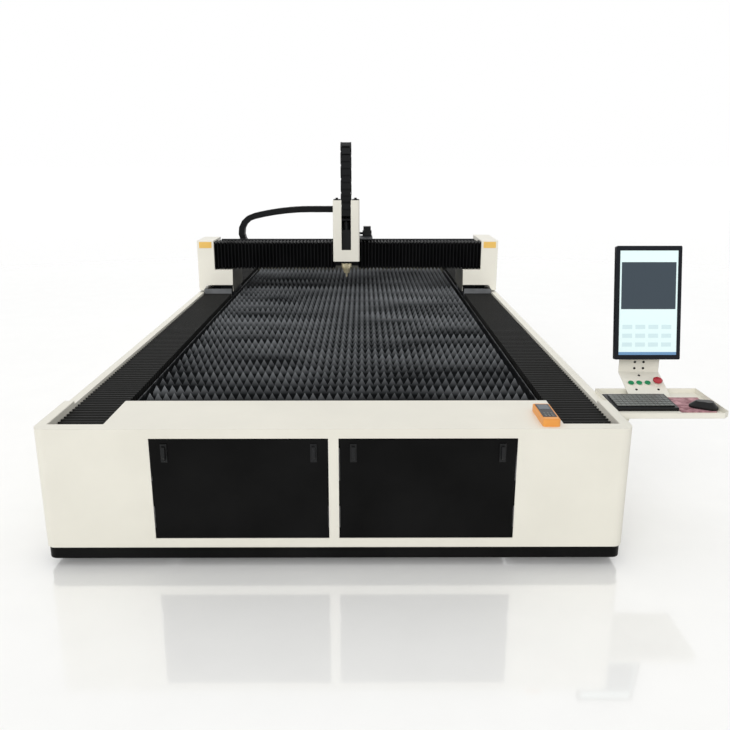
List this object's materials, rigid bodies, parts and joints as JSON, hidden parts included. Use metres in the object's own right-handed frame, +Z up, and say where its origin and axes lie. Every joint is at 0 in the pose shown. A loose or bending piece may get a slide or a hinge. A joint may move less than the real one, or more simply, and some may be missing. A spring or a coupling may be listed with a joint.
{
  "type": "fiber laser cutting machine",
  "caption": "Flatbed laser cutter: serrated slat bed between bellows-covered rail lanes, gantry with a lifting cutting head, hinged front doors and a side console.",
  "frame": {"origin": "floor level, at the centre of the anchor holes in the corner feet", "axes": "+X to the operator's right, +Y to the rear along the bed, +Z up"},
  "size_m": [2.63, 4.778, 1.6094],
  "materials": {
    "cream_paint": "satin powder coat",
    "black_paint": "satin powder coat",
    "frame_paint": "matt paint",
    "slat_steel": "sooty cut steel",
    "bright_steel": "ground steel",
    "zinc_sheet": "galvanised sheet",
    "bellows_cloth": "coated cloth",
    "chain_nylon": "moulded nylon",
    "motor_black": "matt black",
    "plate_aluminium": "milled",
    "nozzle_brass": "turned",
    "marker_amber": "plain plate",
    "handle_plastic": "moulded",
    "button_green": "moulded",
    "stop_red": "moulded",
    "monitor_plastic": "moulded",
    "keyboard_plastic": "moulded",
    "mouse_plastic": "moulded mouse on a cloth pad",
    "pendant_plastic": "moulded"
  },
  "bodies": {
    "bed": {"plinth": "black_paint", "levelling_feet": "bright_steel", "side_beam_left": "frame_paint", "side_beam_right": "frame_paint", "cross_members": "frame_paint", "front_casing": "cream_paint", "rear_casing": "cream_paint", "side_cover_left": "cream_paint", "side_cover_right": "cream_paint", "door_sill": "frame_paint", "slat_rack": "slat_steel", "cutting_slats": "slat_steel", "slag_bins": "zinc_sheet", "exhaust_collar": "zinc_sheet", "lane_rails": "bright_steel", "bellows_front_left": "bellows_cloth", "bellows_front_right": "bellows_cloth", "bellows_rear_left": "bellows_cloth", "bellows_rear_right": "bellows_cloth", "console_tray": "cream_paint", "console_panel": "cream_paint", "monitor": "monitor_plastic", "keyboard": "keyboard_plastic", "mouse_set": "mouse_plastic", "pendant": "pendant_plastic"},
    "gantry": {"gantry_feet": "frame_paint", "lane_blocks": "bright_steel", "gantry_end_left": "cream_paint", "gantry_end_right": "cream_paint", "bellows_plates": "bright_steel", "lane_motors": "motor_black", "gantry_beam": "frame_paint", "beam_rails": "bright_steel", "chain_tray": "frame_paint", "marker_plates": "marker_amber", "beam_bellows_left": "bellows_cloth", "beam_bellows_right": "bellows_cloth", "beam_chain": "chain_nylon"},
    "carriage": {"saddle": "frame_paint", "beam_blocks": "bright_steel", "beam_motor": "motor_black", "head_column": "plate_aluminium", "lift_motor": "motor_black", "head_cover": "cream_paint", "head_chain": "chain_nylon"},
    "head": {"head_slide": "plate_aluminium", "head_body": "motor_black", "nozzle": "nozzle_brass"},
    "lane_pinion_left": {"lane_pinion_left": "bright_steel"},
    "lane_pinion_right": {"lane_pinion_right": "bright_steel"},
    "beam_pinion": {"beam_pinion": "bright_steel"},
    "lift_screw": {"lift_screw": "bright_steel"},
    "door_left": {"door_left": "black_paint", "door_handles_left": "handle_plastic"},
    "door_right": {"door_right": "black_paint", "door_handles_right": "handle_plastic"},
    "start_button": {"start_button": "button_green"},
    "hold_button": {"hold_button": "button_green"},
    "reset_button": {"reset_button": "button_green"},
    "emergency_stop": {"emergency_stop": "stop_red"}
  },
  "joints": [
    {"name": "gantry_slide", "type": "slide", "parent": "bed", "child": "gantry", "axis": [0, 1, 0], "range_m": [-2.433, 0.567], "deforming": ["bellows_front_left", "bellows_front_right", "bellows_rear_left", "bellows_rear_right"]},
    {"name": "carriage_slide", "type": "slide", "parent": "gantry", "child": "carriage", "axis": [1, 0, 0], "range_m": [-0.743, 0.757], "deforming": ["beam_bellows_left", "beam_bellows_right", "beam_chain"]},
    {"name": "head_lift", "type": "slide", "parent": "carriage", "child": "head", "axis": [0, 0, 1], "range_m": [-0.105, 0.02], "deforming": ["head_chain"]},
    {"name": "lane_pinion_left_spin", "type": "hinge", "parent": "gantry", "child": "lane_pinion_left", "pos_m": [-1.0053, 0.813, 0.44], "axis": [0, 0, 1], "continuous": true},
    {"name": "lane_pinion_right_spin", "type": "hinge", "parent": "gantry", "child": "lane_pinion_right", "pos_m": [1.0053, 0.813, 0.44], "axis": [0, 0, 1], "continuous": true},
    {"name": "beam_pinion_spin", "type": "hinge", "parent": "carriage", "child": "beam_pinion", "pos_m": [0.143, 0.8353, 0.9], "axis": [0, 0, 1], "continuous": true},
    {"name": "lift_screw_spin", "type": "hinge", "parent": "carriage", "child": "lift_screw", "pos_m": [-0.007, 0.599, 0.95], "axis": [0, 0, 1], "continuous": true},
    {"name": "door_left_hinge", "type": "hinge", "parent": "bed", "child": "door_left", "pos_m": [0, -2.34, 0.139], "axis": [1, 0, 0], "range_deg": [0, 90]},
    {"name": "door_right_hinge", "type": "hinge", "parent": "bed", "child": "door_right", "pos_m": [0, -2.34, 0.139], "axis": [1, 0, 0], "range_deg": [0, 90]},
    {"name": "start_button_press", "type": "slide", "parent": "bed", "child": "start_button", "axis": [0, 0.3704, -0.9289], "range_m": [0, 0.004], "stiffness_N_per_m": 300},
    {"name": "hold_button_press", "type": "slide", "parent": "bed", "child": "hold_button", "axis": [0, 0.3704, -0.9289], "range_m": [0, 0.004], "stiffness_N_per_m": 300},
    {"name": "reset_button_press", "type": "slide", "parent": "bed", "child": "reset_button", "axis": [0, 0.3704, -0.9289], "range_m": [0, 0.004], "stiffness_N_per_m": 300},
    {"name": "emergency_stop_press", "type": "slide", "parent": "bed", "child": "emergency_stop", "axis": [0, 0.3704, -0.9289], "range_m": [0, 0.006], "stiffness_N_per_m": 500}
  ],
  "couplings": [
    {"joint": "lane_pinion_left_spin", "follows": "gantry_slide", "rad_per_m": -33.333},
    {"joint": "lane_pinion_right_spin", "follows": "gantry_slide", "rad_per_m": 33.333},
    {"joint": "beam_pinion_spin", "follows": "carriage_slide", "rad_per_m": -45.455},
    {"joint": "lift_screw_spin", "follows": "head_lift", "rad_per_m": -628.32}
  ]
}
